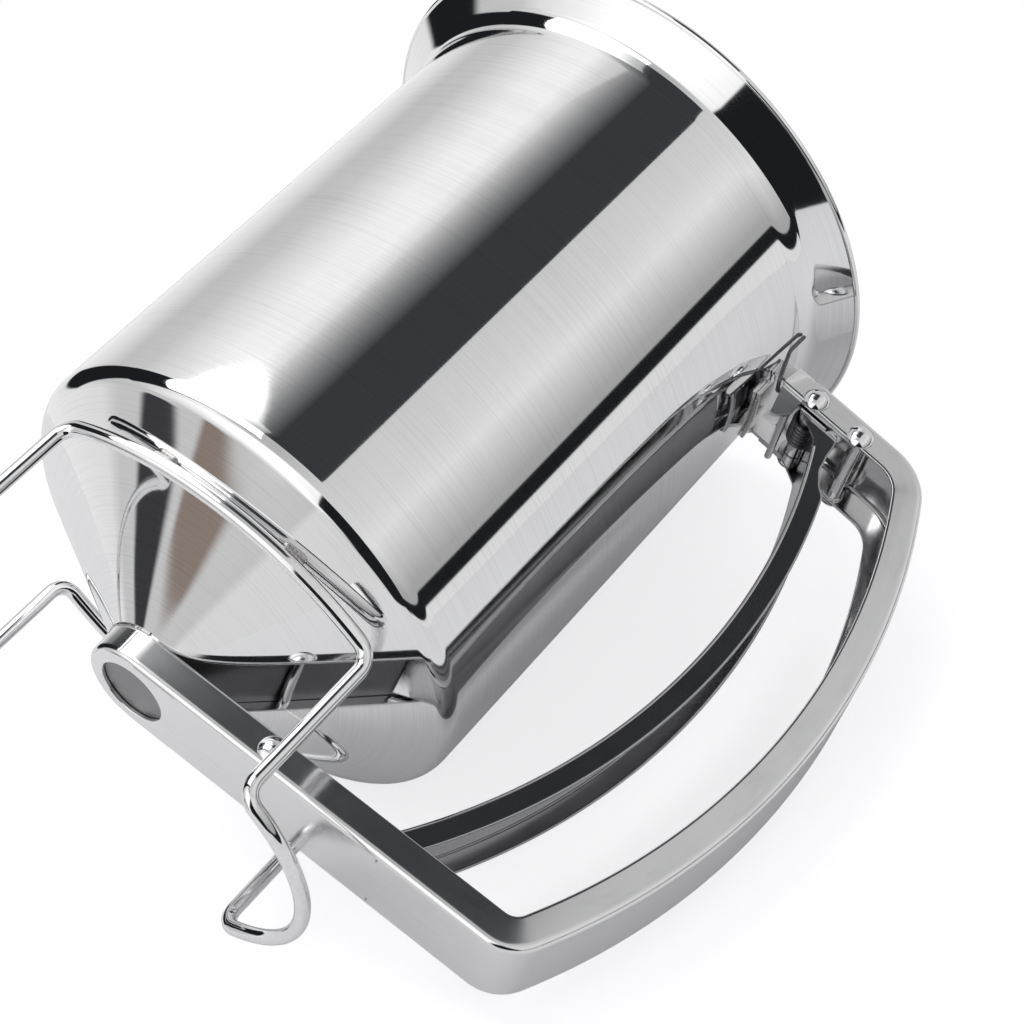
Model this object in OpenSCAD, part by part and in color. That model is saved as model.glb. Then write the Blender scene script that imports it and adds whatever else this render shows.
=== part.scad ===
// Trigger dispensing pot: flared hopper, looped channel handle, sprung squeeze lever,
// sliding shutter under the outlet and a bent wire stand.
// Sizes in millimetres. Modules are drawn about the outlet axis, with z = 0 on the
// underside of the handle's lower arm, then placed so the stand's feet are at z = 0.

/* [Hopper] */
// Outside diameter of the pot
body_d = 135; // [132:0.5:138]
// Height from the underside of the lower arm to the top of the rim
pot_h = 208.5; // [206:0.5:212]
// Sheet thickness of the pot
sheet_t = 1; // [0.8:0.1:1.4]
// Diameter over the flared rim
rim_d = 158; // [156:1:162]
// Height of the bottom corner's centre above the lower arm's underside
corner_z = 43.5; // [43.5:0.5:46]
// Outside radius of the bottom corner
corner_r = 6; // [4:0.5:8]
// Slope of the bottom cone from level
cone_slope = 30.4; // [29.6:0.2:30.4]
// Outside radius where the wall turns out into the flare
flare_r = 8; // [5:0.5:10]
// Angle of the flare from upright
flare_angle = 52; // [45:1:58]
// Radius of the rolled bead on the rim
bead_r = 1.3; // [1.1:0.1:1.6]

/* [Outlet] */
// Radius of the outlet bore
outlet_r = 9.5; // [8:0.25:10.5]
// Outside radius of the collar's spigot
spigot_r = 12.4; // [11.6:0.1:12.8]
// Radius of the weld bead round the collar
weld_r = 0.6; // [0.4:0.1:0.6]

/* [Handle channel] */
// Width of the pressed channel
channel_w = 29; // [28.6:0.1:30]
// Depth of the channel walls
channel_h = 8.6; // [8.4:0.1:9.2]
// Thickness of the channel sheet
channel_t = 1; // [0.8:0.1:1]
// Outside radius of the long bends between web and walls
bend_r = 1.6; // [1.2:0.1:2]
// Radius of the bowed grip
grip_r = 189; // [180:1:200]
// Furthest reach of the grip from the outlet axis
grip_x = 139; // [137:0.5:142]
// Height of the grip's furthest point
grip_z = 93; // [90:0.5:96]
// Radius of the lower corner
low_corner_r = 13; // [12:0.5:15]
// Radius of the upper corner
top_corner_r = 18; // [16:0.5:20]
// Fall of the upper arm from level
arm_fall = 7.2; // [6:0.2:8]
// Height of the upper arm's top face on the outlet axis
arm_top_z = 198.2; // [197:0.2:200]
// Distance of the upper arm's end from the outlet axis
arm_end_x = 72; // [71.5:0.5:74]

/* [Pins] */
// Distance of the pivot rivet from the outlet axis
pivot_x = 81; // [80:0.5:82]
// Height of the pivot rivet
pivot_z = 182.1; // [181.8:0.1:182.4]
// Distance of the tie rivet from the outlet axis
tie_x = 96.6; // [96:0.2:98]
// Radius of the pivot and tie rivets
rivet_r = 1.8; // [1.6:0.1:1.9]
// Radius of the domed rivet heads
head_r = 3.7; // [3.4:0.1:4]
// Height of the domed rivet heads
head_h = 2; // [1.6:0.1:2.4]
// Distance of the guide rivet from the outlet axis
guide_x = 39.7; // [36:0.5:44]
// Height of the guide rivet
guide_z = 4.7; // [4.6:0.1:5]
// Radius of the guide rivet
guide_r = 1.5; // [1.2:0.1:1.6]
// Radial running clearance round each pin
pin_gap = 0.06; // [0.03:0.01:0.1]

/* [Upper bracket] */
// Sheet thickness of the bracket
bracket_t = 1.2; // [1:0.1:1.3]
// Half height of the bracket's arm round the pins
bracket_half = 2.9; // [2.7:0.1:3.1]
// Radius of the lobe below the bracket's near ear
lobe_r = 5; // [4.5:0.1:5.2]
// Height of the lobe's centre
lobe_z = 175.6; // [175:0.1:176]
// Lean of the lobe's straight edge from upright, in degrees
lobe_lean = 13.5; // [8:0.5:16]
// Height of the lowest edge of the bracket's back plate
plate_z = 175.3; // [174:0.1:177]
// Half width of the back plate's tongue
plate_half = 10.5; // [9.5:0.1:11.5]
// Radius of the stop bar across the bracket
stop_r = 1; // [0.8:0.1:1.2]

/* [Squeeze lever] */
// Radius of the lever's bow, on its pot side
lever_r = 175; // [172:0.5:178]
// Furthest reach of the lever's bow from the outlet axis
lever_x = 101.4; // [100.8:0.1:102]
// Height of the bow's furthest point
lever_z = 103; // [102:0.5:104]
// Depth of the lever's flanges
lever_depth = 6.5; // [6:0.1:7]
// Width over the lever's flanges
lever_w = 23.4; // [22.8:0.1:23.6]
// Sheet thickness of the lever
lever_t = 1; // [0.8:0.1:1.1]
// Radius of the lever's pivot ears
ear_r = 4.1; // [3.8:0.1:4.2]

/* [Shutter] */
// Thickness of the shutter plate
gate_t = 1.5; // [1.2:0.1:1.5]
// Half width of the shutter plate
gate_half = 12.6; // [12:0.1:12.8]
// Distance of the link pin from the outlet axis
link_x = 77.2; // [77:0.1:77.6]
// Height of the link pin
link_z = 6.3; // [6.1:0.1:6.4]
// Radius of the link pin
link_r = 1.25; // [1:0.05:1.3]

/* [Return spring] */
// Radius of the spring wire
spring_wire_r = 0.6; // [0.4:0.05:0.65]
// Mean radius of the spring coil
coil_r = 3.45; // [3.35:0.05:3.5]
// Distance between turns of the coil
coil_pitch = 1.5; // [1.4:0.05:1.6]
// Number of whole turns in the coil
coil_turns = 7; // [4:1:8]

/* [Wire stand] */
// Diameter of the stand wire
wire_d = 4; // [3:0.5:4.5]
// Depth of the stand's feet below the lower arm
foot_drop = 20; // [16:0.5:30]
// Distance of the legs from the outlet axis along the handle
leg_x = 47.5; // [45:0.5:50]
// Distance of the legs from the outlet axis across the handle
leg_y = 37; // [34:0.5:39]
// Reach of the side arcs from the outlet axis
side_arc_y = 52.5; // [51:0.5:54]
// Reach of the foot bows from the outlet axis
foot_bow_x = 69; // [66:0.5:72]
// Centre line radius of the bends in the wire
wire_bend_r = 5; // [4:0.5:6]
// Distance of the tack welds from the middle of each side arc
tack_x = 20; // [14:1:24]

/* [Hidden] */
$fn = 64;
eps = 0.01;
seam = 0.05;
lap = 0.01;
dip = 0.2;
far = 400;
body_r = body_d / 2;
rim_r = rim_d / 2;
centre_x = (grip_x - rim_r) / 2;

// hopper profile
cone_end_r = spigot_r + seam;
cone_tan = tan(cone_slope);
cone_u = [cos(cone_slope), sin(cone_slope)];
corner_end = cone_slope - 90;
corner_out = [body_r - corner_r + corner_r * cos(corner_end), corner_z + corner_r * sin(corner_end)];
corner_in = [body_r - corner_r + (corner_r - sheet_t) * cos(corner_end),
             corner_z + (corner_r - sheet_t) * sin(corner_end)];
cone_out_z = corner_out[1] - (corner_out[0] - cone_end_r) * cone_tan;
cone_in_z = corner_in[1] - (corner_in[0] - cone_end_r) * cone_tan;
flare_stop = 180 - flare_angle;
flare_run = (rim_r - bead_r - body_r - flare_r * (1 - cos(flare_angle))) / sin(flare_angle);
flare_rise = flare_r * sin(flare_angle) + flare_run * cos(flare_angle);
neck_z = pot_h - bead_r - flare_rise;

// shutter stack above the lower arm's web
slide_gap = 0.15;
gate_z = channel_t + slide_gap;
gate_top = gate_z + gate_t;
spigot_z = gate_top + slide_gap;

// handle path on the outer face
grip_cx = grip_x - grip_r;
low_cx = grip_cx + sqrt(pow(grip_r - low_corner_r, 2) - pow(grip_z - low_corner_r, 2));
low_turn = atan2(low_corner_r - grip_z, low_cx - grip_cx);
arm_n = [sin(arm_fall), cos(arm_fall)];
arm_u = [cos(arm_fall), -sin(arm_fall)];
arm_rise = arm_top_z * arm_n[1] - top_corner_r - (grip_cx * arm_n[0] + grip_z * arm_n[1]);
arm_run = sqrt(pow(grip_r - top_corner_r, 2) - pow(arm_rise, 2));
top_cx = grip_cx + arm_rise * arm_n[0] + arm_run * arm_u[0];
top_cz = grip_z + arm_rise * arm_n[1] + arm_run * arm_u[1];
top_turn = atan2(top_cz - grip_z, top_cx - grip_cx);
dip_turn = asin(dip / grip_r);
arm_start = [top_cx + top_corner_r * arm_n[0], top_cz + top_corner_r * arm_n[1]];
arm_len = (arm_start[0] - arm_end_x) / arm_u[0];
channel_half = channel_w / 2;
head_seat = channel_half + seam;

// upper bracket and pins
bracket_out = channel_half - channel_t - 0.1;
tie_z = pivot_z - (tie_x - pivot_x) * tan(arm_fall);
hole_r = rivet_r + pin_gap;
bracket_start_x = body_r - 0.6;
lobe_x = pivot_x - 7.9;
lobe_edge = [pivot_x - 10.3, pivot_z + 0.2];
block_h = 5.1;
stop_x = pivot_x - 4.4;
stop_z = plate_z;

// lever
lever_cx = lever_x - lever_r;
lever_half = lever_w / 2;
lever_foot_z = gate_top + 0.7;
lever_top_z = 176.3;
lever_low_turn = asin((lever_foot_z - lever_z) / lever_r);
lever_top_turn = asin((lever_top_z - lever_z) / lever_r);
web_trim = 0.02;
ear_outline = [[pivot_x - 2, pivot_z - ear_r + 0.5],
               [pivot_x + ear_r * cos(20), pivot_z + ear_r * sin(20)],
               [88.2, 175.6], [93, 174.2], [94.2, 164.4], [97.6, 158.4], [97, 150], [91, 156],
               [86.6, 174]];
ear_notch = [[94.2, 164.4], [97.6, 158.4], [104, 158.4], [104, 180], [93, 174.2]];
sleeve_r = 2.6;
sleeve_half = lever_half - lever_t - 0.2;

// link between lever and shutter
link_ear_r = 2.4;
link_ear_t = 1.2;
link_ear_y = 8;
link_slot_gap = 0.1;
link_rise = 1.1;
link_head_r = 2.1;
link_head_t = 0.8;

// wire stand, all about the outlet axis
wire_r = wire_d / 2;
foot_z = wire_r - foot_drop;
side_z = cone_out_z + (side_arc_y - cone_end_r) * cone_tan - (wire_r + 0.3) / cos(cone_slope);
side_drop = side_arc_y - leg_y;
side_r = (pow(leg_x, 2) + pow(side_drop, 2) - pow(wire_bend_r, 2)) / (2 * side_drop);
side_turn = atan2(leg_x, side_r - side_drop) - atan2(wire_bend_r, side_r);
bow_drop = foot_bow_x - leg_x;
bow_r = (pow(leg_y, 2) + pow(bow_drop, 2) - pow(wire_bend_r, 2)) / (2 * bow_drop);
bow_turn = atan2(leg_y, bow_r - bow_drop) - atan2(wire_bend_r, bow_r);

// ---------- helpers ----------

module place() {
    translate([-centre_x, 0, foot_drop])
        children();
}

module wedge(cx, cy, a0, a1) {
    mid = (a0 + a1) / 2;
    polygon([[cx, cy],
             [cx + far * cos(a0), cy + far * sin(a0)],
             [cx + far * cos(mid), cy + far * sin(mid)],
             [cx + far * cos(a1), cy + far * sin(a1)]]);
}

module arc_band(cx, cy, r_out, r_in, a0, a1) {
    intersection() {
        difference() {
            translate([cx, cy])
                circle(r = r_out + lap);
            translate([cx, cy])
                circle(r = r_in - lap);
        }
        wedge(cx, cy, a0, a1);
    }
}

// cylinder along Y, centred on y = 0
module cross_rod(x, z, r, half) {
    translate([x, 0, z])
        rotate([90, 0, 0])
            cylinder(h = 2 * half, r = r, center = true);
}

// 2D drawn in x and z, given thickness from y0 to y1
module side_plate(y0, y1) {
    translate([0, y1, 0])
        rotate([90, 0, 0])
            linear_extrude(height = y1 - y0)
                children();
}

// round rod between two points with a ball on the far end
module rod(p, q, r) {
    d = q - p;
    len = norm(d);
    translate(p)
        rotate([0, acos(d[2] / len), atan2(d[1], d[0])])
            cylinder(h = len, r = r);
    translate(q)
        sphere(r = r + lap);
}

module u_profile(reach, half, depth, t, r) {
    difference() {
        union() {
            translate([reach - depth, -half])
                square([depth - r, 2 * half]);
            translate([reach - depth, r - half])
                square([depth, 2 * (half - r)]);
            for (s = [-1, 1])
                translate([reach - r, s * (half - r)])
                    circle(r = r);
        }
        translate([reach - depth - eps, t - half])
            square([depth - r + eps, 2 * (half - t)]);
        translate([reach - depth - eps, r - half])
            square([depth - t + eps, 2 * (half - r)]);
        for (s = [-1, 1])
            translate([reach - r, s * (half - r)])
                circle(r = r - t);
    }
}

// g thickens the sheet evenly, so that a bend swallows the ends of the runs it joins
module channel_profile(reach, g) {
    u_profile(reach + g, channel_half + g, channel_h + 2 * g, channel_t + 2 * g, bend_r + g);
}

module channel_bend(cx, cz, r, a0, a1, g) {
    translate([cx, 0, cz])
        rotate([90, 0, 0])
            rotate([0, 0, a0])
                rotate_extrude(angle = a1 - a0)
                    channel_profile(r, g);
}

module channel_run(x, z, a, len) {
    translate([x, 0, z])
        rotate([90, 0, 0])
            rotate([0, 0, a])
                rotate([-90, 0, 0])
                    linear_extrude(height = len)
                        channel_profile(0, 0);
}

// domed rivet across the channel at (x, z)
module rivet(x, z, r) {
    dome_r = (pow(head_r, 2) + pow(head_h, 2)) / (2 * head_h);
    cross_rod(x, z, r, head_seat + eps);
    for (s = [-1, 1])
        translate([x, s * head_seat, z])
            rotate([-90 * s, 0, 0])
                intersection() {
                    translate([0, 0, head_h - dome_r])
                        sphere(r = dome_r);
                    cylinder(h = head_h + 1, r = head_r);
                }
}

// ---------- pot ----------

module hopper_shell() {
    flare_c = body_r + flare_r;
    edge = [cos(flare_stop), sin(flare_stop)];
    run_u = [sin(flare_angle), cos(flare_angle)];
    run = flare_run * run_u;
    low = [flare_c + flare_r * edge[0], neck_z + flare_r * edge[1]];
    high = low + sheet_t * edge;
    color([0.80, 0.81, 0.83])
        place() {
            rotate_extrude()
                polygon([corner_out + dip * cone_u, corner_in + dip * cone_u,
                         [cone_end_r, cone_in_z], [cone_end_r, cone_out_z]]);
            rotate_extrude()
                arc_band(body_r - corner_r, corner_z, corner_r, corner_r - sheet_t, corner_end, 0);
            rotate_extrude()
                translate([body_r - sheet_t, corner_z - dip])
                    square([sheet_t, neck_z - corner_z + 2 * dip]);
            rotate_extrude()
                arc_band(flare_c, neck_z, flare_r + sheet_t, flare_r, flare_stop, 180);
            rotate_extrude()
                polygon([low - dip * run_u, high - dip * run_u, high + run, low + run]);
            rotate_extrude()
                translate([rim_r - bead_r, pot_h - bead_r])
                    circle(r = bead_r);
        }
}

module outlet_collar() {
    color([0.72, 0.73, 0.75])
        place()
            rotate_extrude()
                polygon([[outlet_r, spigot_z], [spigot_r, spigot_z], [spigot_r, cone_in_z],
                         [outlet_r, cone_in_z - (spigot_r - outlet_r) * cone_tan]]);
}

// one bead joins collar and cone, the other the cone and the rounded end of the arm
module outlet_welds() {
    arm_weld_z = channel_h + 0.1;
    color([0.62, 0.62, 0.62])
        place() {
            rotate_extrude()
                translate([cone_end_r + 0.3, cone_out_z])
                    circle(r = weld_r);
            rotate([0, 0, 100])
                rotate_extrude(angle = 160)
                    translate([channel_half - 0.2, arm_weld_z])
                        circle(r = weld_r);
        }
}

// ---------- handle ----------

module handle_channel() {
    color([0.78, 0.79, 0.81])
        place()
            difference() {
                union() {
                    rotate([0, 0, 90])
                        rotate_extrude(angle = 180)
                            rotate([0, 0, -90])
                                intersection() {
                                    channel_profile(0, lap);
                                    translate([-far, 0])
                                        square([2 * far, far]);
                                }
                    channel_run(-dip, 0, -90, low_cx + 2 * dip);
                    channel_bend(low_cx, low_corner_r, low_corner_r, -90, low_turn, lap);
                    channel_bend(grip_cx, grip_z, grip_r, low_turn - dip_turn, top_turn + dip_turn, 0);
                    channel_bend(top_cx, top_cz, top_corner_r, top_turn, 90 - arm_fall, lap);
                    channel_run(arm_start[0] + dip * arm_u[0], arm_start[1] + dip * arm_u[1],
                                90 - arm_fall, arm_len + dip);
                }
                translate([0, 0, -1])
                    cylinder(h = channel_t + 2, r = outlet_r);
                cross_rod(pivot_x, pivot_z, hole_r, far);
                cross_rod(tie_x, tie_z, hole_r, far);
                cross_rod(guide_x, guide_z, guide_r + pin_gap, far);
            }
}

module upper_bracket() {
    color([0.74, 0.75, 0.77])
        place()
            difference() {
                union() {
                    intersection() {
                        difference() {
                            cylinder(h = far, r = body_r + 0.1 + bracket_t);
                            translate([0, 0, -1])
                                cylinder(h = far + 2, r = body_r + 0.1);
                        }
                        union() {
                            translate([0, -bracket_out, lobe_edge[1]])
                                cube([far, 2 * bracket_out, block_h]);
                            translate([0, -plate_half, plate_z])
                                cube([far, 2 * plate_half, lobe_edge[1] + block_h / 2 - plate_z]);
                        }
                    }
                    side_plate(-bracket_out, bracket_t - bracket_out) {
                        bracket_strip(lobe_edge[0] + spring_wire_r);
                        translate([bracket_start_x, lobe_edge[1]])
                            square([lobe_x - bracket_start_x, block_h]);
                        bracket_lobe();
                    }
                    side_plate(bracket_out - bracket_t, bracket_out)
                        bracket_strip(bracket_start_x);
                    translate([stop_x, plate_half, stop_z])
                        rotate([90, 0, 0])
                            cylinder(h = plate_half + bracket_out - bracket_t / 2, r = stop_r);
                }
                cross_rod(pivot_x, pivot_z, hole_r, far);
                cross_rod(tie_x, tie_z, hole_r, far);
            }
}

// an ear's strip under the upper arm, from start to the tie rivet
module bracket_strip(start) {
    back = (pivot_x - start) / cos(arm_fall);
    reach = (tie_x - pivot_x) / cos(arm_fall);
    translate([pivot_x, pivot_z])
        rotate([0, 0, -arm_fall])
            translate([-back, -bracket_half])
                square([back + reach, 2 * bracket_half]);
    translate([tie_x, tie_z])
        circle(r = bracket_half);
}

module bracket_lobe() {
    intersection() {
        union() {
            translate([lobe_x, lobe_z])
                circle(r = lobe_r);
            translate([lobe_x - lobe_r, lobe_z])
                square([2 * lobe_r, pivot_z - lobe_z]);
        }
        translate(lobe_edge)
            rotate([0, 0, lobe_lean])
                translate([0, -far])
                    square([far, 2 * far]);
    }
}

module bracket_welds() {
    color([0.62, 0.62, 0.62])
        place()
            for (z = [plate_z, lobe_edge[1] + block_h])
                intersection() {
                    translate([0, 0, z])
                        rotate_extrude()
                            translate([body_r + 0.4, 0])
                                circle(r = weld_r);
                    translate([0, -8, z - 2])
                        cube([far, 16, 4]);
                }
}

module pivot_rivet() {
    color([0.80, 0.80, 0.82])
        place()
            rivet(pivot_x, pivot_z, rivet_r);
}

module tie_rivet() {
    color([0.80, 0.80, 0.82])
        place()
            rivet(tie_x, tie_z, rivet_r);
}

module guide_rivet() {
    color([0.80, 0.80, 0.82])
        place()
            rivet(guide_x, guide_z, guide_r);
}

module pivot_sleeve() {
    color([0.35, 0.35, 0.37])
        place()
            difference() {
                cross_rod(pivot_x, pivot_z, sleeve_r, sleeve_half);
                cross_rod(pivot_x, pivot_z, hole_r, far);
            }
}

// ---------- moving parts ----------

// the lever's bow in side view, cut level above the shutter
module lever_bow(r_out, r_in, trim) {
    intersection() {
        arc_band(lever_cx, lever_z, r_out, r_in, lever_low_turn, lever_top_turn - trim);
        translate([0, lever_foot_z + trim])
            square([far, far]);
    }
}

module lever_side() {
    difference() {
        union() {
            lever_bow(lever_r + lever_depth, lever_r, 0);
            translate([pivot_x, pivot_z])
                circle(r = ear_r);
            polygon(ear_outline);
        }
        polygon(ear_notch);
        translate([pivot_x, pivot_z])
            circle(r = hole_r);
        translate([link_x, link_z])
            circle(r = link_r + pin_gap);
    }
}

module trigger_lever() {
    web_half = lever_half - lever_t / 2;
    color([0.30, 0.30, 0.32])
        place() {
            for (s = [-1, 1])
                side_plate(s * web_half - lever_t / 2, s * web_half + lever_t / 2)
                    lever_side();
            side_plate(-web_half, web_half)
                lever_bow(lever_r + lever_t, lever_r + 2 * lap, web_trim);
        }
}

module shutter_plate() {
    slot_half = link_r + link_slot_gap;
    color([0.45, 0.46, 0.47])
        place() {
            translate([0, 0, gate_z])
                linear_extrude(height = gate_t) {
                    circle(r = gate_half);
                    translate([0, -gate_half])
                        square([link_x + link_ear_r, 2 * gate_half]);
                }
            for (s = [-1, 1])
                side_plate(s * link_ear_y - link_ear_t / 2, s * link_ear_y + link_ear_t / 2)
                    difference() {
                        union() {
                            translate([link_x - link_ear_r, gate_z + gate_t / 2])
                                square([2 * link_ear_r, link_z + link_rise - gate_z - gate_t / 2]);
                            translate([link_x, link_z + link_rise])
                                circle(r = link_ear_r);
                        }
                        translate([link_x, link_z - link_slot_gap])
                            circle(r = slot_half);
                        translate([link_x, link_z + link_rise])
                            circle(r = slot_half);
                        translate([link_x - slot_half, link_z - link_slot_gap])
                            square([2 * slot_half, link_rise + link_slot_gap]);
                    }
        }
}

module link_pin() {
    color([0.70, 0.70, 0.72])
        place() {
            cross_rod(link_x, link_z, link_r, lever_half + seam + eps);
            for (s = [-1, 1])
                translate([link_x, s * (lever_half + seam), link_z])
                    rotate([-90 * s, 0, 0])
                        cylinder(h = link_head_t, r = link_head_r);
        }
}

module torsion_spring() {
    y0 = -(coil_turns - 1) * coil_pitch / 2;
    leg_r = spring_wire_r - lap;
    link_wire_r = 0.75 * spring_wire_r;
    lever_a = 25;
    gap_z = lobe_edge[1] - 1.9;
    out = [pivot_x + coil_r * cos(lever_a), -y0, pivot_z + coil_r * sin(lever_a)];
    // the pot-side leg, out of the gap beside the lobe and up the pot's wall
    top_z = pivot_z + coil_r;
    leg = [[pivot_x, y0, top_z], [lobe_edge[0] + 0.3, y0 - 1.5, top_z],
           [lobe_edge[0] - 0.3, -9.5, gap_z], [lobe_edge[0] - 0.9, -13.9, gap_z],
           [66.8, -15.6, 189.5], [66.9, -14.6, 197]];
    color([0.16, 0.16, 0.17])
        place() {
            for (i = [0 : coil_turns - 1])
                translate([pivot_x, y0 + i * coil_pitch, pivot_z])
                    rotate([90, 0, 0])
                        rotate_extrude()
                            translate([coil_r, 0])
                                circle(r = spring_wire_r);
            for (i = [0 : coil_turns - 2])
                translate([pivot_x - coil_r, y0 + (i + 0.5) * coil_pitch, pivot_z])
                    rotate([90, 0, 0])
                        cylinder(h = coil_pitch, r = link_wire_r, center = true);
            rod(leg[0], leg[1], leg_r);
            rod(leg[1], leg[2], leg_r);
            rod(leg[2], leg[3], leg_r);
            rod(leg[3], leg[4], leg_r);
            rod(leg[4], leg[5], leg_r);
            rod(out, out + 15 * [sin(lever_a), 0, -cos(lever_a)], leg_r);
        }
}

// ---------- stand ----------

module wire_arc(r, a0, a1, g) {
    rotate([0, 0, a0])
        rotate_extrude(angle = a1 - a0)
            translate([r, 0])
                circle(r = wire_r + g);
}

module wire_stand() {
    side_reach = side_turn + asin(dip / side_r);
    bow_reach = bow_turn + asin(dip / bow_r);
    color([0.75, 0.76, 0.78])
        place() {
            for (s = [-1, 1]) {
                translate([0, s * (side_arc_y - side_r), side_z])
                    wire_arc(side_r, 90 * s - side_reach, 90 * s + side_reach, 0);
                translate([s * (foot_bow_x - bow_r), 0, foot_z])
                    wire_arc(bow_r, 90 - 90 * s - bow_reach, 90 - 90 * s + bow_reach, 0);
            }
            for (sx = [-1, 1], sy = [-1, 1])
                wire_leg(sx, sy);
        }
}

module wire_leg(sx, sy) {
    mirror([sx < 0 ? 1 : 0, 0, 0])
        mirror([0, sy > 0 ? 0 : 1, 0]) {
            translate([leg_x, leg_y, foot_z + wire_bend_r - dip])
                cylinder(h = side_z - foot_z - 2 * (wire_bend_r - dip), r = wire_r);
            translate([leg_x, leg_y, side_z - wire_bend_r])
                rotate([0, 0, 180 - side_turn])
                    translate([wire_bend_r, 0, 0])
                        rotate([90, 0, 0])
                            wire_arc(wire_bend_r, 90, 180, lap);
            translate([leg_x, leg_y, foot_z + wire_bend_r])
                rotate([0, 0, bow_turn - 90])
                    translate([wire_bend_r, 0, 0])
                        rotate([90, 0, 0])
                            wire_arc(wire_bend_r, 180, 270, lap);
        }
}

module stand_welds() {
    color([0.62, 0.62, 0.62])
        place()
            for (sx = [-1, 1], sy = [-1, 1]) {
                y = side_arc_y - side_r + sqrt(pow(side_r, 2) - pow(tack_x, 2));
                a = asin(tack_x / side_r);
                lift = wire_r - 0.2;
                translate([sx * tack_x, sy * (y - 0.5), side_z + lift])
                    rotate([0, 0, -sx * sy * a])
                        rotate([0, 90, 0]) {
                            cylinder(h = 5, r = 1.3, center = true);
                            for (e = [-1, 1])
                                translate([0, 0, 2.5 * e])
                                    sphere(r = 1.3);
                        }
            }
}

hopper_shell();
outlet_collar();
outlet_welds();
handle_channel();
upper_bracket();
bracket_welds();
pivot_rivet();
tie_rivet();
guide_rivet();
pivot_sleeve();
torsion_spring();
trigger_lever();
shutter_plate();
link_pin();
wire_stand();
stand_welds();
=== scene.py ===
import math
import bpy
import bmesh
from mathutils import Matrix, Vector


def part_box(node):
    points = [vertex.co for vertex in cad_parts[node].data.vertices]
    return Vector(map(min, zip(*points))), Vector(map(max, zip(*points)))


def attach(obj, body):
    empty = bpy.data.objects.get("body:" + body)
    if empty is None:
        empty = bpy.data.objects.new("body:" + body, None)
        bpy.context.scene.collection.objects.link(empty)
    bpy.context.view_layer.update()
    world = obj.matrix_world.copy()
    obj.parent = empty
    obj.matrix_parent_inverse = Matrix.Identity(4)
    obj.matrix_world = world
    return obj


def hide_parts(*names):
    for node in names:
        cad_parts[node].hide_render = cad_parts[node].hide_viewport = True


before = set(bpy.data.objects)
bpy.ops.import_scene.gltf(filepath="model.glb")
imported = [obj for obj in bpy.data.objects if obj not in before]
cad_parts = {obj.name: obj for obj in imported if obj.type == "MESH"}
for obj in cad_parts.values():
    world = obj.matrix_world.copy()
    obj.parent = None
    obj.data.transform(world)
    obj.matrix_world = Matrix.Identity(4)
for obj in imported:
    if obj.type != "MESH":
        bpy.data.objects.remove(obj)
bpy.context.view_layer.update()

# Everything below is drawn in millimetres about the outlet's axis, with z = 0 on the underside of
# the lower arm, and placed by the frame's own boxes.
MM = 0.001
collar_lo, collar_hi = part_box("outlet_collar")
arm_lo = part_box("handle_channel")[0]
ORIGIN = Vector(((collar_lo[0] + collar_hi[0]) / 2, 0.0, arm_lo[2]))


def at(p):
    return ORIGIN + Vector(p) * MM


def rad(a):
    return math.radians(a)


# ---------------------------------------------------------------- sizes
# hopper: straight wall, rim with its flare and rolled bead, bottom corner, cone
BODY_R = 67.5
POT_H = 208.5
SHEET = 1.0
RIM_R = 79.0
BEAD_R = 0.9
FLARE_R = 8.0
FLARE_DEG = 52
CORNER_Z = 43.5
CORNER_R = 6.0
SLOPE_DEG = 30.4
SLOPE = rad(SLOPE_DEG)
FLARE_A = rad(FLARE_DEG)
TAN = math.tan(SLOPE)
# outlet and its collar
OUTLET_R = 9.5
SPIGOT_R = 12.4
SPIGOT_Z = 2.8
CONE_END = SPIGOT_R + 0.05
# handle channel: half width, depth, sheet, bend, draft of the walls, and the bow's circles
CH_HALF = 14.5
CH_H = 8.6
CH_T = 1.0
CH_BEND = 1.6
DRAFT = 3.5
GRIP_R = 189.0
GRIP_C = (-50.0, 93.0)
LOW_R = 13.0
TOP_R = 18.0
FALL_DEG = 7.2
ARM_FALL = rad(FALL_DEG)
ARM_TOP = 198.2
ARM_END = 72.0
# pins, as (x, z)
PIVOT = (81.0, 182.1)
TIE = (96.6, 182.1 - 15.6 * math.tan(ARM_FALL))
GUIDE = (39.7, 4.7)
LINK = (77.2, 6.3)
# squeeze lever
LEVER_C = (-73.6, 103.0)
LEVER_R = 175.0
LEVER_HALF = 11.7
LEVER_T = 1.0
LEVER_BEND = 1.3
# stand wire
WIRE = 2.0

# where the cone meets the bottom corner outside and inside, and where it ends at the collar
CORNER_OUT = (BODY_R - CORNER_R + CORNER_R * math.sin(SLOPE), CORNER_Z - CORNER_R * math.cos(SLOPE))
CORNER_IN = (BODY_R - CORNER_R + (CORNER_R - SHEET) * math.sin(SLOPE),
             CORNER_Z - (CORNER_R - SHEET) * math.cos(SLOPE))
CONE_OUT_Z = CORNER_OUT[1] - (CORNER_OUT[0] - CONE_END) * TAN
CONE_IN_Z = CORNER_IN[1] - (CORNER_IN[0] - CONE_END) * TAN
# length of the flare's straight run, and height at which the flare leaves the wall
FLARE_RUN = ((RIM_R - BEAD_R + SHEET / 2 * math.cos(FLARE_A) - BODY_R - FLARE_R * (1 - math.cos(FLARE_A)))
             / math.sin(FLARE_A))
NECK_Z = (POT_H - BEAD_R - SHEET / 2 * math.sin(FLARE_A) - FLARE_R * math.sin(FLARE_A)
          - FLARE_RUN * math.cos(FLARE_A))


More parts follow.
